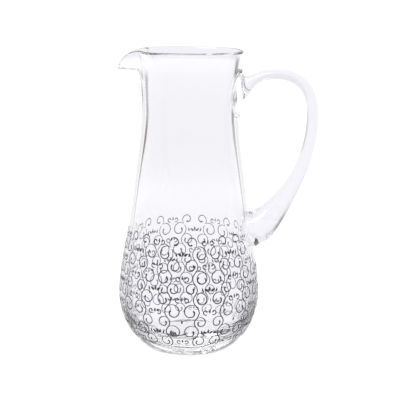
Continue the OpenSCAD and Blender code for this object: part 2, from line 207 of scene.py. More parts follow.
outline = section(180)
bpy.ops.mesh.primitive_plane_add(size=2 * mm)
pitcherBody = bpy.context.object
pitcherBody.name = pitcherBody.data.name = "pitcherBody"
editMode(pitcherBody)
bpy.ops.mesh.select_all(action="SELECT")
bpy.ops.mesh.merge(type="CENTER")
bpy.ops.transform.translate(value=(outline[0].x * mm, 0, outline[0].y * mm))
for a, b in zip(outline, outline[1:]):
    bpy.ops.mesh.extrude_vertices_move(
        TRANSFORM_OT_translate={"value": ((b.x - a.x) * mm, 0, (b.y - a.y) * mm)})
bpy.ops.mesh.select_all(action="SELECT")
bpy.ops.mesh.spin(steps=shape["columns"], angle=2 * math.pi, center=(0, 0, 0), axis=(0, 0, 1))
bpy.ops.mesh.select_all(action="SELECT")
bpy.ops.mesh.remove_doubles(threshold=0.002 * mm)
bpy.ops.mesh.normals_make_consistent(inside=False)
bpy.ops.object.mode_set(mode="OBJECT")

# The mouth is drawn out column by column
tree = KDTree(len(outline))
for i, point in enumerate(outline):
    tree.insert((point.x, point.y, 0), i)
tree.balance()
sections = {}
columnPlaces = []  # which point of the outline each vertex is, its height and its turn from the spout
lastOutside = outline.index(mouthWall(180)[-1])
mouthSpare = 5  # the columns are redrawn from a little below the neck, and a little past the ears
for vertex in pitcherBody.data.vertices:
    height = vertex.co.z / mm
    i = tree.find((math.hypot(vertex.co.x, vertex.co.y) / mm, height, 0))[1]
    angle = math.degrees(math.atan2(vertex.co.y, vertex.co.x))
    turn = round(180 - abs(angle), 3)
    columnPlaces.append((i, height, turn))
    a = math.radians(angle)
    if height > shape["neckHeight"] - mouthSpare and turn < shape["earTo"] + mouthSpare:
        if turn not in sections:
            sections[turn] = section(turn)
        point = sections[turn][i]
        vertex.co = (point.x * math.cos(a) * mm, point.x * math.sin(a) * mm, point.y * mm)
    if i > lastOutside + lipSteps and height < shape["unevenTo"]:  # no tool touches the inside of the base
        radius = math.hypot(vertex.co.x, vertex.co.y) / mm
        wave = sum(strength * math.sin(count * a + outward * radius + upward * height + start)
                   for strength, count, outward, upward, start in shape["waves"])
        reach = fade(radius, *shape["unevenRadii"]) * fade(shape["unevenTo"] - height, 0, shape["unevenFade"])
        vertex.co.z += shape["uneven"] * wave * reach * mm
for polygon in pitcherBody.data.polygons:
    polygon.use_smooth = True
print("stage: body,", len(pitcherBody.data.vertices), "vertices")

# The handle: a ring drawn out from the pad on the neck, round the grip and down to the gob on the bowl

handleShape = {
    "rootBelowRim": 33.5, "rootHeight": 25, "rootWidth": 21, "rootRise": 49.5, "rootPull": 0.26,
    "archRise": 13.1, "archOut": 33, "archThick": 8.8, "archPull": 0.46, "archRound": 0.64,
    "gripGap": 59.5, "gripDrop": 35.5, "rodThick": 10.4, "rodWidth": 14, "gripPull": 0.41,
    "gobHeight": 104, "gobTall": 38, "gobWide": 36, "gobRise": 45.8, "gobPull": 0.32,
    "padTall": 43.5, "padWide": 43, "padThick": 2.6, "padBelowRim": 38,
    # rings of the pad and the gob: shares of their size, and of how far they stand off the wall
    "padShares": ((0.93, -0.1), (0.985, 0.02), (1, 0.2), (0.995, 0.45), (0.97, 0.68), (0.92, 0.87),
                  (0.84, 1)),
    "gobShares": ((0.95, -0.08), (1, 0.1), (1.005, 0.4), (1, 0.7)),
    "gobLow": 0.62, "gobLowRings": 8,  # the gob's lower half is shorter and rounder, over its last rings
    "fused": 0.98, "sink": 0.3,  # how far the pad and the gob reach into the wall that they're fused to
    "hiddenShares": (0.04, 0.25, 0.5, 0.75), "hiddenPadRings": 2, "hiddenGobRings": 1,
    "rootOff": 1.5, "gobOff": 0.1,  # from the wall to the rod's ends, in pad thicknesses and gob heights
    "rootSwell": 4.5, "rootTurn": 0.4, "gobSwell": 3,  # how suddenly the rod swells and turns at its ends
    "sides": 48, "rootSteps": 34, "archSteps": 34, "gobSteps": 56,
    "filletRings": 12, "filletEnd": 5, "filletPull": 0.42,  # the soft fillet from the pad into the rod
    "tintFade": (0, 10),  # rings of the rod over which its fuller tint comes in
    # rings of the rod over which a painted dark line comes and goes, on the finger side and on the outer side
    "innerLine": (60, 72, 78, 86), "outerLine": (102, 110, 113, 117), "paintedLineStrengths": (0.7, 1.0),
}
grip = handleShape
roundWall = footWall + bowlWall[1:] + mouthWall(180)


def wallRadius(height):
    for a, b in zip(roundWall, roundWall[1:]):
        if a.y <= height <= b.y:
            return blend(a.x, b.x, (height - a.y) / (b.y - a.y))
    return roundWall[-1].x


rootHeight = shape["height"] - grip["rootBelowRim"]
padHeight = shape["height"] - grip["padBelowRim"]
archTop = Vector((shape["neckRadius"] + grip["archOut"], rootHeight + grip["archRise"]))
gripOut = Vector((shape["neckRadius"] + grip["gripGap"] + grip["rodThick"] / 2, archTop.y - grip["gripDrop"]))
rootStart = Vector((wallRadius(rootHeight) + grip["padThick"] * grip["rootOff"], rootHeight))
gobStart = Vector((wallRadius(grip["gobHeight"]) + grip["gobOff"] * grip["gobTall"], grip["gobHeight"]))
gobReach = gripOut.y - grip["gobHeight"]
rootSteps, archSteps, gobSteps = grip["rootSteps"], grip["archSteps"], grip["gobSteps"]
rodPath = (bezier(rootStart, rootStart + grip["rootPull"] * grip["archOut"] * way(grip["rootRise"]),
                  archTop - Vector((grip["archPull"] * grip["archOut"], 0)), archTop, rootSteps)
           + bezier(archTop, archTop + Vector((grip["archRound"] * (gripOut.x - archTop.x), 0)),
                    gripOut + grip["archRound"] * grip["gripDrop"] * up, gripOut, archSteps, 1)
           + bezier(gripOut, gripOut - grip["gripPull"] * gobReach * up,
                    gobStart + grip["gobPull"] * gobReach * way(grip["gobRise"]), gobStart, gobSteps, 1))
half = grip["gobTall"] / 2
gobLean = math.degrees(math.atan2(-grip["gobTall"], wallRadius(grip["gobHeight"] - half)
                                  - wallRadius(grip["gobHeight"] + half)))


def rodRing(i):
    root = (1 - min(i / rootSteps, 1)) ** grip["rootSwell"]
    arch = min(max((i - rootSteps) / archSteps, 0), 1)
    gob = max((i - rootSteps - archSteps) / gobSteps, 0) ** grip["gobSwell"]
    tall = blend(blend(grip["archThick"], grip["rodThick"], arch), grip["rootHeight"], root) \
        + (grip["gobTall"] - grip["rodThick"]) * gob
    wide = grip["rodWidth"] + (grip["rootWidth"] - grip["rodWidth"]) * root \
        + (grip["gobWide"] - grip["rodWidth"]) * gob
    t = tangent(rodPath, i)
    square = math.degrees(math.atan2(t.y, t.x)) + 90
    lean = blend(blend(square, 90, root ** grip["rootTurn"]), gobLean, gob)
    middle, along = rodPath[i], way(lean)
    low = blend(1, grip["gobLow"], fade(i, len(rodPath) - 1 - grip["gobLowRings"], len(rodPath) - 1))
    ring = []
    for j in range(grip["sides"]):
        q = 2 * math.pi * j / grip["sides"]
        reach = tall / 2 * math.sin(q) * (low if math.sin(q) > 0 else 1)
        ring.append((middle.x + reach * along.x, wide / 2 * math.cos(q), middle.y + reach * along.y))
    return ring


def wallRing(height, wide, tall, lift, low=1):  # an oval laid on the wall
    ring = []
    for j in range(grip["sides"]):
        q = 2 * math.pi * j / grip["sides"]
        rise = height + tall / 2 * math.sin(q) * (low if math.sin(q) > 0 else 1)
        a = wide / 2 * math.cos(q) / wallRadius(height)
        radius = wallRadius(rise) + lift
        ring.append((radius * math.cos(a), radius * math.sin(a), rise))
    return ring


inner = grip["hiddenShares"]
deep = -grip["sink"]
rings = [wallRing(padHeight, s * grip["padWide"], s * grip["padTall"], deep) for s in inner]
rings += [wallRing(padHeight, s * grip["padWide"], s * grip["padTall"], max(lift * grip["padThick"], deep))
          for s, lift in grip["padShares"]]
rod = [[Vector(place) for place in rodRing(i)] for i in range(len(rodPath))]
before, edge = [Vector(p) for p in rings[-2]], [Vector(p) for p in rings[-1]]
for step in range(1, grip["filletRings"]):  # a soft fillet from the pad's face into the rod
    t = step / grip["filletRings"]
    ring = []
    for a, b, c, d in zip(before, edge, rod[grip["filletEnd"]], rod[grip["filletEnd"] + 1]):
        reach = (c - b).length * grip["filletPull"]
        ring.append((1 - t) ** 3 * b + 3 * (1 - t) ** 2 * t * (b + reach * (b - a).normalized())
                    + 3 * (1 - t) * t * t * (c - reach * (d - c).normalized()) + t ** 3 * c)
    rings.append(ring)
rings += rod[grip["filletEnd"]:]
lowRings = [(share, max(lift * shape["wall"], deep)) for share, lift in grip["gobShares"][::-1]]
for share, off in lowRings + [(share, deep) for share in inner[::-1]]:
    rings.append(wallRing(grip["gobHeight"], share * grip["gobWide"], -share * grip["gobTall"], off,
                          grip["gobLow"]))
# A plain column is extruded ring by ring, and then each ring goes to its place
bpy.ops.mesh.primitive_circle_add(vertices=grip["sides"], radius=2 * mm, fill_type="NGON")
pitcherHandle = bpy.context.object
pitcherHandle.name = pitcherHandle.data.name = "pitcherHandle"
editMode(pitcherHandle)
bpy.ops.mesh.select_all(action="SELECT")
for ring in rings[1:]:
    bpy.ops.mesh.extrude_region_move(TRANSFORM_OT_translate={"value": (0, 0, 2 * mm)})
bpy.ops.object.mode_set(mode="OBJECT")
order = sorted(pitcherHandle.data.vertices, key=lambda v: (
    round(v.co.z / mm), math.atan2(v.co.y, v.co.x) % (2 * math.pi - 1e-4)))
for vertex, place in zip(order, [p for ring in rings for p in ring]):
    vertex.co = Vector(place) * mm
order = [vertex.index for vertex in order]
editMode(pitcherHandle)
bpy.ops.mesh.select_all(action="SELECT")
bpy.ops.mesh.normals_make_consistent(inside=False)
bpy.ops.object.mode_set(mode="OBJECT")
padCount = (len(inner) + grip["hiddenPadRings"]) * grip["sides"]
gobCount = (len(inner) + grip["hiddenGobRings"]) * grip["sides"]
hidden = set(order[:padCount] + order[-gobCount:])  # on the faces fused into the wall
for polygon in pitcherHandle.data.polygons:
    polygon.use_smooth = True
    polygon.material_index = 1 if hidden.issuperset(polygon.vertices) else 0

# Where the pad and the gob lie on the wall: height, size, and how short the lower half is
fusedPlaces = ((padHeight, grip["padTall"], grip["padWide"], 1),
               (grip["gobHeight"], grip["gobTall"], grip["gobWide"], grip["gobLow"]))


def underGlass(height, turn):  # how much of a place on the wall the pad or the gob covers
    cover = 0
    for middle, tall, wide, low in fusedPlaces:
        across = math.radians(180 - turn) * wallRadius(middle) / (wide / 2)
        apart = (height - middle) / (tall / 2)
        cover = max(cover, 1 - fade(math.hypot(across, max(apart, -apart / low)), 0.95, 1.1))
    return cover


# On the body: where the outer skin is, and where it may take the painted dark line and the painted grey shade
outsideShares = []
for i, height, turn in columnPlaces:
    spoutward = 1 - fade(turn, shape["spoutFadeHalf"] * 0.7, shape["spoutFadeHalf"])
    rimShare = max(fade(height, *shape["rimFade"]), spoutward * fade(height, *shape["spoutFade"]))
    free = (1 - rimShare) * (1 - underGlass(height, turn))
    outsideShares.append(free if i < lastOutside + lipSteps else 0.0)
skinShares = [1.0 if i <= lastOutside else 0.0 for i, height, turn in columnPlaces]
for name, shares in (("outside", outsideShares), ("skin", skinShares)):
    attribute = pitcherBody.data.attributes.new(name, "FLOAT", "POINT")
    attribute.data.foreach_set("value", shares)

# On the handle: how much of the tint there is, and where a painted dark line follows an edge
tintShares, paintedDarkShares = [0] * len(pitcherHandle.data.vertices), [0] * len(pitcherHandle.data.vertices)
firstRod = len(inner) + len(grip["padShares"]) + grip["filletRings"] - 1 - grip["filletEnd"]
for place, index in enumerate(order):
    i, q = place // grip["sides"] - firstRod, 2 * math.pi * (place % grip["sides"]) / grip["sides"]
    tintShares[index] = fade(i, *grip["tintFade"])
    innerLine = max(0, -math.sin(q)) * fade(i, *grip["innerLine"][:2]) * (1 - fade(i, *grip["innerLine"][2:]))
    outerLine = max(0, math.sin(q)) * fade(i, *grip["outerLine"][:2]) * (1 - fade(i, *grip["outerLine"][2:]))
    paintedDarkShares[index] = max(innerLine * grip["paintedLineStrengths"][0], outerLine * grip["paintedLineStrengths"][1])
for name, shares in (("tint", tintShares), ("dark", paintedDarkShares)):
    attribute = pitcherHandle.data.attributes.new(name, "FLOAT", "POINT")
    attribute.data.foreach_set("value", shares)
print("stage: handle,", len(pitcherHandle.data.vertices), "vertices")

# The print: scrolls and small motifs, each a ribbon of enamel laid along its line on the bowl

printShape = {
    "panels": 8, "lowest": 17, "line": 0.9, "sink": 0.03, "proud": 0.12,
    "scroll": 7, "side": 4.2, "gap": 0.35, "curl": 0.3, "turn": 342, "fork": 6, "steps": 44,
    "scrolls": (0.88, 1, 0.78, 1, 0.92, 0.76, 1, 0.86, 1, 0.8),
    "scrollThin": 0.45, "windIn": 1.4, "windOn": 1.15,
    # the stem runs up along the scrolls and crosses between them
    "stemStart": -55, "crossing": 12, "arcSteps": 12, "stemWidths": (1.2, 0.75),
    # pairs of small hooks with a drop between
    "hook": 2.5, "hookStart": -120, "hookTurn": 300, "hookSteps": 24, "hookThin": 0.8, "apart": 3.7,
    "hooks": (0, 3, 4, 6, 7, 9), "drop": 3.6, "dropWidths": (0.5, 1.9, 1.4, 0.4),
    # the pockets that hold a bud of three petals instead, with a comma on either side
    "buds": (1, 5, 8), "petal": 4.4, "spread": 55,
    "petalFoot": (0.24, -0.35), "petalWidths": (0.5, 2.3, 2, 0.4),
    "comma": 4, "commaGap": 1.4, "commaLean": 20, "commaBend": 0.09, "commaWidths": (0.9, 1.8, 1.1, 0.4),
    "margin": 1.5,  # clear of the handle's foot
}
ink = printShape
panelWidth = 2 * math.pi * shape["bellyRadius"] / ink["panels"]
wallRuns = [0]
for a, b in zip(roundWall, roundWall[1:]):
    wallRuns.append(wallRuns[-1] + (b - a).length)


def wallAt(run):
    for i in range(len(wallRuns) - 1):
        if run <= wallRuns[i + 1]:
            share = (run - wallRuns[i]) / (wallRuns[i + 1] - wallRuns[i])
            t = blend(tangent(roundWall, i), tangent(roundWall, i + 1), share).normalized()
            return blend(roundWall[i], roundWall[i + 1], share), t


def runAt(height):
    for i in range(len(roundWall) - 1):
        if height <= roundWall[i + 1].y:
            share = (height - roundWall[i].y) / (roundWall[i + 1].y - roundWall[i].y)
            return blend(wallRuns[i], wallRuns[i + 1], share)


def onWall(x, run, lift):
    point, t = wallAt(run)
    radius, a = point.x + lift * t.y, x / shape["bellyRadius"]
    return Vector((radius * math.cos(a), radius * math.sin(a), point.y - lift * t.x))


radii = [ink["scroll"] * s for s in ink["scrolls"]]
runs = [runAt(ink["lowest"])]
for a, b in zip(radii, radii[1:]):
    runs.append(runs[-1] + math.sqrt((a + b + ink["gap"]) ** 2 - (2 * ink["side"]) ** 2))


def sideOf(k):
    return -1 if k % 2 == 0 else 1


middles = [Vector((panelWidth / 4 + sideOf(k) * ink["side"], run)) for k, run in enumerate(runs)]


def curl(middle, radius, first, turn, thin, steps):  # a line that winds in and swells to a drop at its end
    stroke = []
    for i in range(steps + 1):
        t = i / steps
        reach = radius * blend(1, ink["curl"], t ** ink["windIn"])
        place = middle + reach * way(first + turn * t ** ink["windOn"])
        stroke.append((place.x, place.y, ink["line"] * (thin + (1 - thin) * min(1, 4 * t) + t ** 6)))
    return stroke


def meeting(k, other):  # the angle at which a scroll meets another, seen from its own middle
    away = middles[other] - middles[k]
    return math.degrees(math.atan2(away.y, away.x))


def lowMeeting(k):
    return meeting(k, k - 1) if k else ink["stemStart"]


def stem():
    stroke = []
    for k in range(len(runs) - 1):
        sweep = sideOf(k) * (lowMeeting(k) - meeting(k, k + 1)) % 360
        for i in range(ink["arcSteps"] + 1):
            t = i / ink["arcSteps"]
            a = lowMeeting(k) - sideOf(k) * blend(ink["crossing"] if k else 0, sweep - ink["crossing"], t)
            place = middles[k] + radii[k] * way(a)
            stroke.append((place.x, place.y, ink["line"] * blend(*ink["stemWidths"], (k + t) / len(runs))))
    return stroke


def scroll(k):
    fork = meeting(k, k + 1) if k < len(runs) - 1 else lowMeeting(k)
    return curl(middles[k], radii[k], fork - sideOf(k) * ink["fork"], -sideOf(k) * ink["turn"],
                ink["scrollThin"], ink["steps"])


def shapedStroke(foot, tip, bend, widths, steps=14):  # widths are spread along it and eased between
    across = Vector((-(tip - foot).y, (tip - foot).x))
    stroke = []
    for i in range(steps + 1):
        t = i / steps
        place = blend(foot, tip, t) + across * 4 * bend * t * (1 - t)
        span = min(int(t * (len(widths) - 1)), len(widths) - 2)
        share = t * (len(widths) - 1) - span
        share = share * share * (3 - 2 * share)
        stroke.append((place.x, place.y, ink["line"] * blend(widths[span], widths[span + 1], share)))
    return stroke


strokes = []
for stroke in [stem()] + [scroll(k) for k in range(len(runs))]:
    strokes += [stroke, [(-x, run, wide) for x, run, wide in stroke]]
footAcross, footDrop = ink["petalFoot"]
beside = ink["petal"] * (footAcross + math.sin(math.radians(ink["spread"]))) + ink["commaGap"]
for k in range(len(runs)):
    pocket = Vector((0 if sideOf(k) > 0 else panelWidth / 2, runs[k]))
    if k in ink["buds"]:
        for spread in (-1, 0, 1):
            foot = pocket + ink["petal"] * Vector((footAcross * spread, footDrop))
            tip = foot + ink["petal"] * way(90 - ink["spread"] * spread)
            strokes.append(shapedStroke(foot, tip, 0, ink["petalWidths"]))
        for s in (-1, 1):
            middle = pocket + Vector((s * beside, 0))
            reach = ink["comma"] / 2 * way(90 - ink["commaLean"] * s)
            bend = -ink["commaBend"] * s
            strokes.append(shapedStroke(middle - reach, middle + reach, bend, ink["commaWidths"]))
    else:
        hook = curl(Vector((ink["apart"], 0)), ink["hook"], ink["hookStart"], ink["hookTurn"],
                    ink["hookThin"], ink["hookSteps"])
        for s in (-1, 1) if k in ink["hooks"] else ():
            strokes.append([(pocket.x + s * x, pocket.y + rise, wide) for x, rise, wide in hook])
        foot = pocket - 0.25 * ink["drop"] * up
        strokes.append(shapedStroke(foot, foot + ink["drop"] * up, 0, ink["dropWidths"]))


# A stem ends where it meets the handle's foot, and a shorter stroke that meets it is left out
def clearPart(stroke, turned):
    for i, (x, run, wide) in enumerate(stroke):
        p = onWall(x, run, 0)
        a = math.atan2(p.y, p.x) + turned
        across = math.hypot(p.x, p.y) * math.sin(a) / (grip["gobWide"] / 2 + ink["margin"])
        along = (p.z - grip["gobHeight"]) / (grip["gobTall"] / 2 + ink["margin"])
        if math.cos(a) > 0 and math.hypot(across, along) < 1:
            return stroke[:i] if i > ink["steps"] + 1 else []  # only a stem has this many points
    return stroke


# Two edges fused into the glass and a rounded crest of three lines: shares of the half width, and heights
ribbonLines = ((-1, -ink["sink"]), (-0.8, 0.7 * ink["proud"]), (0, ink["proud"]),
               (0.8, 0.7 * ink["proud"]), (1, -ink["sink"]))
lines = len(ribbonLines)


def ribbon(stroke):
    points = []
    for i, (x, run, wide) in enumerate(stroke):
        a, b = stroke[max(i - 1, 0)], stroke[min(i + 1, len(stroke) - 1)]
        t = Vector((b[0] - a[0], b[1] - a[1])).normalized()
        for share, lift in ribbonLines:
            points.append(onWall(x - share * wide / 2 * t.y, run + share * wide / 2 * t.x, lift))
    return points


printPanels = []
shapes = [ribbon(stroke) for stroke in strokes]
for number in range(1, ink["panels"] + 1):
    turned = 2 * math.pi * (number - 0.5) / ink["panels"]
    points, faces = [], []
    turn = Matrix.Rotation(turned, 3, "Z")
    for stroke, shaped in zip(strokes, shapes):
        count = len(clearPart(stroke, turned))
        if not count:
            continue
        first = len(points)
        points += [turn @ p * mm for p in shaped[:lines * count]]
        for i in range(count - 1):
            for j in range(lines):
                a, b = first + lines * i + j, first + lines * i + (j + 1) % lines
                faces.append((a, b, b + lines, a + lines))
        faces.append(tuple(first + j for j in range(lines))[::-1])
        faces.append(tuple(first + lines * (count - 1) + j for j in range(lines)))
    mesh = bpy.data.meshes.new("printPanel" + str(number))
    mesh.from_pydata(points, [], faces)
    panel = bpy.data.objects.new(mesh.name, mesh)
    bpy.context.collection.objects.link(panel)
    printPanels.append(panel)
    editMode(panel)
    bpy.ops.mesh.select_all(action="SELECT")
    bpy.ops.mesh.normals_make_consistent(inside=False)
    bpy.ops.object.mode_set(mode="OBJECT")
    for polygon in panel.data.polygons:  # the underside runs between the two fused edges
        polygon.use_smooth = True
        polygon.material_index = 1 if set(v % lines for v in polygon.vertices) == {0, lines - 1} else 0
print("stage: print,", sum(len(p.data.vertices) for p in printPanels), "vertices")

# Clear soda-lime glass, blown and fire-polished: mirror smooth, and so clear that the eye sees it by its
# edges. Where light enters, it takes a faint lavender tint with painted shade that changes with height. A
# painted dark line inside the outline where the wall turns away, painted grey beyond it, painted shade inside
# the mouth and a painted soft grey shade low on the bowl stand for the darker room that the glass bends into
# view.

glassLook = {
    "ior": 1.5,
    # tint by height, partly the glass's own lavender tint and partly painted shade that changes with height:
    # shares of the pitcher's height, and colours
    "tintsAndPaintedShade": ((0, "#ffffff"), (0.045, "#fdfdff"), (0.1, "#f0eff4"), (0.19, "#e5e4ea"), (0.35, "#ebeaef"),
              (0.46, "#ebeaee"), (0.52, "#f1f0f4"), (0.6, "#e9e8ed"), (0.69, "#e7e6eb"), (0.79, "#e7e6eb"),
              (0.85, "#e9e8ed"), (0.925, "#edecf1"), (0.955, "#f3f2f9")),
    # painted shade inside the mouth, standing for the darker room seen there
    "paintedMouthShade": "#d5d4dc", "mouthFade": (0.955, 0.975),  # the inside of the mouth, from a share of the height
    # the painted dark line, standing for the dark room seen where the wall turns away: where it runs
    # (facing), its half width and its strength, by height
    "line": "#40332c",
    "paintedLineRuns": ((0.3, 0.65), (0.5, 0.65), (0.62, 0.615), (0.72, 0.555), (0.8, 0.53), (0.88, 0.585),
                 (0.96, 0.63)),
    "paintedLineWidths": ((0.3, 0.03), (0.5, 0.04), (0.62, 0.05), (0.72, 0.07), (0.88, 0.075), (0.96, 0.14)),
    "paintedLineStrengths": ((0.25, 0.0), (0.36, 0.5), (0.5, 0.9), (0.8, 1.0), (0.9, 0.9), (0.94, 1.0), (0.97, 0.9),
                      (0.985, 0.35)),
    # painted grey beyond the painted dark line, towards the outline
    "rim": "#bdbcc4", "rimFade": (0.5, 2.0),  # beyond the line, towards the outline, in its half widths
    # the painted soft grey shade of the low bowl, where the wall turns away (facing), and less of it at the
    # very edge
    "shade": "#74737e", "shadeFade": (0.3, 0.62), "shadeEdge": (1.0, 0.85),
    "shadeStrengths": ((0.035, 0.0), (0.06, 0.8), (0.1, 1.0), (0.16, 1.0), (0.22, 0.7), (0.3, 0.2),
                       (0.38, 0.0)),
    # upright unevenness of the blown wall, in millimetres, and how much it weakens and strengthens the
    # painted line and painted shade above
    "streakWide": 18.2, "streakLong": 4, "streaks": (0.75, 1.1),
}
look = glassLook
glass = newMaterial("clear soda-lime glass")
place = addNode(glass, "ShaderNodeTexCoord").outputs["Object"]
along = addNode(glass, "ShaderNodeSeparateXYZ", {0: place}).outputs
rise = addNode(glass, "ShaderNodeMath", {0: along["Z"], 1: shape["height"] * mm}, operation="DIVIDE")
levels = {}  # what changes with the height
for name in ("paintedLineRuns", "paintedLineWidths", "paintedLineStrengths", "shadeStrengths"):
    stops = [(at, (value, value, value, 1)) for at, value in look[name]]
    levels[name] = addNode(glass, "ShaderNodeValToRGB", {"Fac": rise}, stops)
tone = addNode(glass, "ShaderNodeValToRGB", {"Fac": rise}, [(at, colour(code)) for at, code in look["tintsAndPaintedShade"]])
facing = addNode(glass, "ShaderNodeLayerWeight", {"Blend": 0.5}).outputs["Facing"]
outer = addNode(glass, "ShaderNodeAttribute", attribute_name="outside").outputs["Fac"]
skin = addNode(glass, "ShaderNodeAttribute", attribute_name="skin").outputs["Fac"]
streaks = addNode(glass, "ShaderNodeTexNoise", {
    "Vector": addNode(glass, "ShaderNodeMapping", {"Vector": place, "Scale": (1, 1, 1 / look["streakLong"])}),
    "Scale": 1 / (look["streakWide"] * mm), "Detail": 3})
streaks = addNode(glass, "ShaderNodeMapRange", {
    "Value": streaks, "From Min": 0.3, "From Max": 0.7,
    "To Min": look["streaks"][0], "To Max": look["streaks"][1]}, interpolation_type="SMOOTHSTEP")
marked = addNode(glass, "ShaderNodeMath", {0: outer, 1: streaks}, operation="MULTIPLY")

# Painted shade on the inner skin of the mouth, by height
paintedMouthShare = addNode(glass, "ShaderNodeMapRange", {
    "Value": rise, "From Min": look["mouthFade"][0], "From Max": look["mouthFade"][1]},
    interpolation_type="SMOOTHSTEP")
inside = addNode(glass, "ShaderNodeMapRange", {"Value": skin, "From Min": 1.0, "From Max": 0.0},
                 interpolation_type="SMOOTHSTEP")
paintedMouthShare = addNode(glass, "ShaderNodeMath", {0: paintedMouthShare, 1: inside}, operation="MULTIPLY")

# The painted dark line, placed by facing
fromLine = addNode(glass, "ShaderNodeMath", {0: facing, 1: levels["paintedLineRuns"]}, operation="SUBTRACT")
fromLine = addNode(glass, "ShaderNodeMath", {0: fromLine, 1: levels["paintedLineWidths"]}, operation="DIVIDE")
# Painted grey between the painted dark line and the outline
beyond = addNode(glass, "ShaderNodeMapRange", {
    "Value": fromLine, "From Min": look["rimFade"][0], "From Max": look["rimFade"][1]},
    interpolation_type="SMOOTHSTEP")
beyond = addNode(glass, "ShaderNodeMath", {0: beyond, 1: outer}, operation="MULTIPLY")
line = addNode(glass, "ShaderNodeMath", {0: fromLine}, operation="ABSOLUTE")
line = addNode(glass, "ShaderNodeMapRange", {"Value": line, "From Min": 1.0, "From Max": 0.3},
               interpolation_type="SMOOTHSTEP")
line = addNode(glass, "ShaderNodeMath", {0: line, 1: levels["paintedLineStrengths"]}, operation="MULTIPLY")
line = addNode(glass, "ShaderNodeMath", {0: line, 1: marked}, operation="MULTIPLY")

# Painted shade low on the bowl, placed by facing
shade = addNode(glass, "ShaderNodeMapRange", {
    "Value": facing, "From Min": look["shadeFade"][0], "From Max": look["shadeFade"][1]},
    interpolation_type="SMOOTHSTEP")
edge = addNode(glass, "ShaderNodeMapRange", {
    "Value": facing, "From Min": look["shadeEdge"][0], "From Max": look["shadeEdge"][1], "To Min": 0.5},
    interpolation_type="SMOOTHSTEP")
shade = addNode(glass, "ShaderNodeMath", {0: shade, 1: edge}, operation="MULTIPLY")
shade = addNode(glass, "ShaderNodeMath", {0: shade, 1: levels["shadeStrengths"]}, operation="MULTIPLY")
shade = addNode(glass, "ShaderNodeMath", {0: shade, 1: marked}, operation="MULTIPLY")

tone = tone.outputs["Color"]
# The painted shade in the mouth, the painted grey, the painted shade low on the bowl and the painted dark
# line go over the tint
for share, name in ((paintedMouthShare, "paintedMouthShade"), (beyond, "rim"), (shade, "shade"), (line, "line")):
    mix = addNode(glass, "ShaderNodeMix", {0: share, 6: tone, 7: colour(look[name])}, data_type="RGBA")
    tone = mix.outputs[2]
leaving = addNode(glass, "ShaderNodeNewGeometry").outputs["Backfacing"]  # the way out isn't tinted
mix = addNode(glass, "ShaderNodeMix", {0: leaving, 6: tone, 7: colour("#ffffff")}, data_type="RGBA")
tone = mix.outputs[2]

# The outer skin is gone where the pad and the gob are fused to it, since glass meets glass there
around = addNode(glass, "ShaderNodeMath", {0: along["Y"], 1: along["X"]}, operation="ARCTAN2")
bare = 1.0
for middle, tall, wide, low in fusedPlaces:
    perTurn = wallRadius(middle) / (wide / 2)
    across = addNode(glass, "ShaderNodeMath", {0: around, 1: perTurn}, operation="MULTIPLY")
    above = addNode(glass, "ShaderNodeMath", {0: along["Z"], 1: 2 / tall / mm, 2: -2 * middle / tall},
                    operation="MULTIPLY_ADD")
    below = addNode(glass, "ShaderNodeMath", {0: above, 1: -1 / low}, operation="MULTIPLY")
    apart = addNode(glass, "ShaderNodeMath", {0: above, 1: below}, operation="MAXIMUM")
    apart = addNode(glass, "ShaderNodeMath", {0: apart, 1: apart}, operation="MULTIPLY")
    apart = addNode(glass, "ShaderNodeMath", {0: across, 1: across, 2: apart}, operation="MULTIPLY_ADD")
    clear = addNode(glass, "ShaderNodeMath", {0: apart, 1: grip["fused"] ** 2}, operation="GREATER_THAN")
    bare = addNode(glass, "ShaderNodeMath", {0: bare, 1: clear}, operation="MULTIPLY")
innerWall = addNode(glass, "ShaderNodeMath", {0: skin, 1: 0.5}, operation="LESS_THAN")
bare = addNode(glass, "ShaderNodeMath", {0: bare, 1: innerWall}, operation="MAXIMUM")
surface = addNode(glass, "ShaderNodeBsdfPrincipled", {
    "Base Color": tone, "Roughness": 0.0, "IOR": look["ior"], "Transmission Weight": 1.0, "Alpha": bare})
addNode(glass, "ShaderNodeOutputMaterial", {"Surface": surface})

# The handle is drawn from the same glass in one hot gather. It is solid, so its tint is fuller. Dark slivers
# are painted on its round sides, standing for the dark room that it bends into view, and the pad is painted
# near white where it turns away, standing for a highlight.
handleLook = {
    # the pad's tint, and the near white painted where it turns away, standing for a highlight
    "tint": "#d5d3de", "pad": "#e5e4eb", "ends": "#fdfdff", "paintedLightFade": (0.1, 0.4),
    # the painted dark line on the rod's sides, by facing
    "line": "#2c292b", "paintedLineFade": (0.28, 0.55),
}
solidGlass = newMaterial("solid soda-lime glass")
facing = addNode(solidGlass, "ShaderNodeLayerWeight", {"Blend": 0.5}).outputs["Facing"]
full = addNode(solidGlass, "ShaderNodeAttribute", attribute_name="tint").outputs["Fac"]
dark = addNode(solidGlass, "ShaderNodeAttribute", attribute_name="dark").outputs["Fac"]
# Painted highlight on the pad, by facing
turned = addNode(solidGlass, "ShaderNodeMapRange", {
    "Value": facing, "From Min": handleLook["paintedLightFade"][0], "From Max": handleLook["paintedLightFade"][1]},
    interpolation_type="SMOOTHSTEP")
# The painted dark line, where the attribute marks it and the side turns away
line = addNode(solidGlass, "ShaderNodeMapRange", {
    "Value": facing, "From Min": handleLook["paintedLineFade"][0], "From Max": handleLook["paintedLineFade"][1]},
    interpolation_type="SMOOTHSTEP")
line = addNode(solidGlass, "ShaderNodeMath", {0: dark, 1: line}, operation="MULTIPLY")
leaving = addNode(solidGlass, "ShaderNodeNewGeometry").outputs["Backfacing"]
tone = colour(handleLook["pad"])
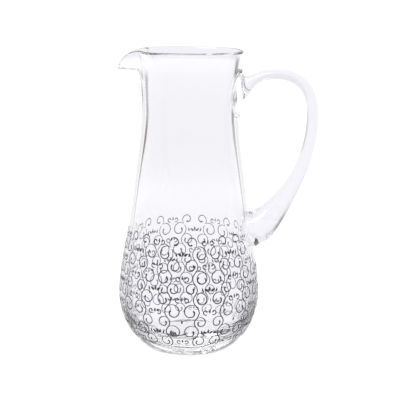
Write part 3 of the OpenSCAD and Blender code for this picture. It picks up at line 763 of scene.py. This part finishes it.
# the painted highlight, the fuller tint, the painted dark line and the untinted way out, in turn
for share, code in ((turned, handleLook["ends"]), (full, handleLook["tint"]), (line, handleLook["line"]),
                    (leaving, "#ffffff")):
    mix = addNode(solidGlass, "ShaderNodeMix", {0: share, 6: tone, 7: colour(code)}, data_type="RGBA")
    tone = mix.outputs[2]
surface = addNode(solidGlass, "ShaderNodeBsdfPrincipled", {
    "Base Color": tone, "Roughness": 0.0, "IOR": look["ior"], "Transmission Weight": 1.0})
addNode(solidGlass, "ShaderNodeOutputMaterial", {"Surface": surface})

# Glass that was melted together has no face left inside it, so the handle's fused faces can't be seen
fusedGlass = newMaterial("fused glass joint")
surface = addNode(fusedGlass, "ShaderNodeBsdfPrincipled", {
    "Base Color": colour("#ffffff"), "Roughness": 0.0, "IOR": look["ior"], "Transmission Weight": 1.0,
    "Alpha": 0.0})
addNode(fusedGlass, "ShaderNodeOutputMaterial", {"Surface": surface})

# Enamel of ground glass and pigment, screened on and fired: near black and half matt, with a fine grain. The
# grain is drawn coarser than the real one, so that it shows. The underside is fused to the glass and is seen
# through it on the far wall, where it is painted a paler grey that stands for the light veiling it there.
enamelLook = {
    "grain": 1.2, "ior": 1.5,
    "top": ("#1d1d20", "#2c2c31"), "topRough": (0.38, 0.52),
    # the underside is painted paler than the top, standing for the light that veils it through the glass
    "under": ("#b2b2ba", "#bebec6"), "underRough": 0.6,
}
enamel = newMaterial("fired screen enamel")
enamelUnderPaintedPale = newMaterial("enamel underside painted pale")
for material, codes in ((enamel, enamelLook["top"]), (enamelUnderPaintedPale, enamelLook["under"])):
    place = addNode(material, "ShaderNodeTexCoord").outputs["Object"]
    grain = addNode(material, "ShaderNodeTexNoise", {
        "Vector": place, "Scale": 1 / (enamelLook["grain"] * mm), "Detail": 2})
    share = addNode(material, "ShaderNodeMapRange", {"Value": grain, "From Min": 0.35, "From Max": 0.65},
                    interpolation_type="SMOOTHSTEP")
    tone = addNode(material, "ShaderNodeMix", {0: share, 6: colour(codes[0]), 7: colour(codes[1])},
                   data_type="RGBA").outputs[2]
    rough = enamelLook["underRough"]
    if material == enamel:  # the grain also changes how matt the top is
        rough = addNode(material, "ShaderNodeMapRange", {
            "Value": grain, "From Min": 0.3, "From Max": 0.7,
            "To Min": enamelLook["topRough"][0], "To Max": enamelLook["topRough"][1]},
            interpolation_type="SMOOTHSTEP")
    surface = addNode(material, "ShaderNodeBsdfPrincipled", {
        "Base Color": tone, "Roughness": rough, "IOR": enamelLook["ior"]})
    addNode(material, "ShaderNodeOutputMaterial", {"Surface": surface})

pitcherBody.data.materials.append(glass)
pitcherHandle.data.materials.append(solidGlass)
pitcherHandle.data.materials.append(fusedGlass)
for panel in printPanels:
    panel.data.materials.append(enamel)
    panel.data.materials.append(enamelUnderPaintedPale)
print("stage: materials")

# The pieces ride on the part and stand for its nodes
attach(pitcherBody, "root")
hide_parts("body")
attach(pitcherHandle, "root")
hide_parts("handle")
for number, panel in enumerate(printPanels, 1):
    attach(panel, "root")
    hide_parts("print_panel_" + str(number))

# The studio: a white floor that runs past the picture, and soft light from above

studio = {
    "floorSize": 80, "floorDrop": 0.0002,
    "floorColour": "#e7e7e7", "floorSeen": "#7c7c7c", "glow": 0.9,  # seen directly it glows, to be white
    "horizon": "#ffffff", "zenith": "#fcfcfd", "skyStops": (0.0, 0.15, 0.5),
    "lampPlace": (-0.5, -0.5, 1.3), "lampAim": (0, 0, 0.13), "lampSize": 0.8, "lampPower": 8,
}
bpy.ops.mesh.primitive_plane_add(size=studio["floorSize"], location=(0, 0, -studio["floorDrop"]))
floor = bpy.context.object
floor.name = floor.data.name = "studioFloor"
white = newMaterial("white studio floor")
rays = addNode(white, "ShaderNodeLightPath").outputs
seen = rays["Is Camera Ray"]
for name in ("Is Glossy Ray", "Is Transmission Ray"):
    seen = addNode(white, "ShaderNodeMath", {0: seen, 1: rays[name]}, operation="MAXIMUM")
strength = addNode(white, "ShaderNodeMath", {0: seen, 1: studio["glow"]}, operation="MULTIPLY")
glow = addNode(white, "ShaderNodeEmission", {"Color": colour("#ffffff"), "Strength": strength})
plain = addNode(white, "ShaderNodeBsdfDiffuse", {"Color": colour(studio["floorColour"])})
dim = addNode(white, "ShaderNodeBsdfDiffuse", {"Color": colour(studio["floorSeen"])})
pick = addNode(white, "ShaderNodeMixShader", {0: seen, 1: plain, 2: dim})
total = addNode(white, "ShaderNodeAddShader", {0: pick, 1: glow})
addNode(white, "ShaderNodeOutputMaterial", {"Surface": total})
floor.data.materials.append(white)
floor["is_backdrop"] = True

world = bpy.data.worlds.new("studio")
bpy.context.scene.world = world
world.use_nodes = True
world.node_tree.nodes.clear()
place = addNode(world, "ShaderNodeTexCoord").outputs["Generated"]
height = addNode(world, "ShaderNodeSeparateXYZ", {0: place}).outputs["Z"]
skyColours = [colour(studio[name]) for name in ("horizon", "horizon", "zenith")]
sky = addNode(world, "ShaderNodeValToRGB", {"Fac": height}, list(zip(studio["skyStops"], skyColours)))
sky.color_ramp.interpolation = "EASE"
background = addNode(world, "ShaderNodeBackground", {"Color": sky, "Strength": 1.0})
addNode(world, "ShaderNodeOutputWorld", {"Surface": background})

bpy.ops.object.light_add(type="AREA", location=studio["lampPlace"])
lamp = bpy.context.object
lamp.data.shape = "RECTANGLE"
lamp.data.size = lamp.data.size_y = studio["lampSize"]
lamp.data.energy = studio["lampPower"]
lamp.rotation_euler = (Vector(studio["lampAim"]) - lamp.location).to_track_quat("-Z", "Y").to_euler()

# The camera, as fitted to the photograph: its place in millimetres, its turns, and its focal length in pixels
view = {
    "distance": 1219.44, "height": 355.6, "across": 9.33, "pitch": 10.39, "roll": 0.495, "turn": 5,
    "focal": 1399.85, "pixels": 400, "sensor": 36,
}
pitch, roll = math.radians(view["pitch"]), math.radians(view["roll"])
ahead = Vector((0, math.cos(pitch), -math.sin(pitch)))
above = Vector((0, math.sin(pitch), math.cos(pitch)))
right = Vector((1, 0, 0))
rolledRight = math.cos(roll) * right + math.sin(roll) * above
rolledUp = -math.sin(roll) * right + math.cos(roll) * above
pose = Matrix((rolledRight, rolledUp, -ahead)).transposed().to_4x4()
pose.translation = Vector((view["across"], -view["distance"], view["height"])) * mm
camera = bpy.data.objects.new("camera", bpy.data.cameras.new("camera"))
bpy.context.collection.objects.link(camera)
camera.matrix_world = Matrix.Rotation(math.radians(view["turn"]), 4, "Z") @ pose
camera.data.sensor_width = view["sensor"]
camera.data.lens = view["sensor"] * view["focal"] / view["pixels"]
camera.data.clip_end = 200
scene = bpy.context.scene
scene.camera = camera
scene.view_settings.view_transform = "Standard"
scene.cycles.max_bounces = 96  # light turns many times inside thick glass
scene.cycles.transmission_bounces = 64
scene.cycles.glossy_bounces = 64
scene.cycles.transparent_max_bounces = 64
print("stage: studio and camera")

low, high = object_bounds()
